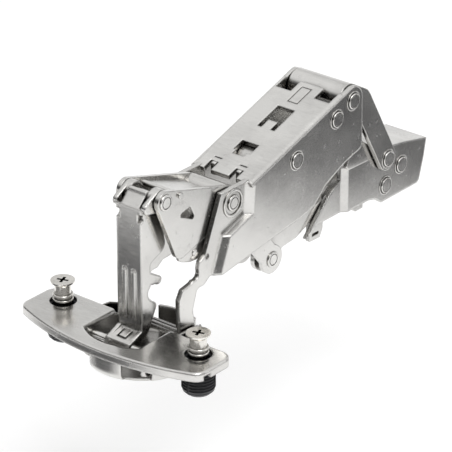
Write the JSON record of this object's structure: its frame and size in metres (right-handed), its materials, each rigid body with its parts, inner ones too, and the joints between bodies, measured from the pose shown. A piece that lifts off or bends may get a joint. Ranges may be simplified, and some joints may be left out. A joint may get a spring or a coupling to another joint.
{
  "type": "concealed cup hinge",
  "caption": "Nickel-plated wide-angle concealed cup hinge with folded link arms, cup flange, screws in dowels and clip-on arm, opened square.",
  "frame": {"origin": "centre of the 35 mm cup, in the face of the door, which the flange's rim rests on", "axes": "+X from the cup towards the tail of the mounting arm; +Z out of the cup, away from the door; every pivot lies along Y"},
  "size_m": [0.1501, 0.0692, 0.0613],
  "materials": {
    "nickel_steel": "bright nickel plate over pressed steel",
    "pin_steel": "nickel-plated turned steel",
    "spring_steel": "drawn spring wire",
    "screw_steel": "nickel-plated screw",
    "black_plastic": "moulded black nylon"
  },
  "bodies": {
    "mounting_arm": {"mounting_arm": "nickel_steel", "inner_arm": "nickel_steel", "tail_rivet_upper": "pin_steel", "tail_rivet_lower": "pin_steel", "lower_link_rivet": "pin_steel", "release_lever": "nickel_steel"},
    "cross_lever": {"cross_lever": "nickel_steel", "nose_pin": "pin_steel", "cross_pin": "pin_steel", "arm_pivot_pin": "pin_steel"},
    "rear_link": {"rear_link": "nickel_steel"},
    "outer_arm": {"outer_arm": "nickel_steel", "spring_rivet_front": "pin_steel", "spring_rivet_rear": "pin_steel", "spring_guide": "nickel_steel", "closing_spring": "spring_steel", "upper_link_rivet": "pin_steel"},
    "front_lever": {"front_lever": "nickel_steel"},
    "cup": {"cup_shell": "nickel_steel", "cup_flange": "nickel_steel", "cup_rear_pin": "pin_steel", "cup_front_pin": "pin_steel", "cup_spring": "spring_steel", "dowel_left": "black_plastic", "dowel_right": "black_plastic", "dowel_screw_left": "screw_steel", "dowel_screw_right": "screw_steel"}
  },
  "joints": [
    {"name": "arm_fold", "type": "hinge", "parent": "mounting_arm", "child": "cross_lever", "pos_m": [0.0506, 0, 0.0054], "axis": [0, -1, 0], "range_deg": [-61.4, 44.3]},
    {"name": "rear_link_fold", "type": "hinge", "parent": "mounting_arm", "child": "rear_link", "pos_m": [0.1052, 0, 0.0199], "axis": [0, -1, 0], "range_deg": [-61.9, 44.8]},
    {"name": "outer_arm_swing", "type": "hinge", "parent": "cross_lever", "child": "outer_arm", "pos_m": [0.0298, 0, 0.0324], "axis": [0, -1, 0], "range_deg": [-44.8, 61.9]},
    {"name": "front_lever_swing", "type": "hinge", "parent": "cross_lever", "child": "front_lever", "pos_m": [0.0018, 0, 0.0421], "axis": [0, -1, 0], "range_deg": [-44.8, 61.9]},
    {"name": "cup_swing", "type": "hinge", "parent": "outer_arm", "child": "cup", "pos_m": [0.0097, 0, -0.004], "axis": [0, -1, 0], "range_deg": [-90.7, 65.6]}
  ],
  "couplings": [
    {"joint": "rear_link_fold", "follows": "arm_fold", "ratio": 1},
    {"joint": "outer_arm_swing", "follows": "arm_fold", "ratio": -1},
    {"joint": "front_lever_swing", "follows": "arm_fold", "ratio": -1},
    {"joint": "cup_swing", "follows": "arm_fold", "ratio": 1.466}
  ]
}
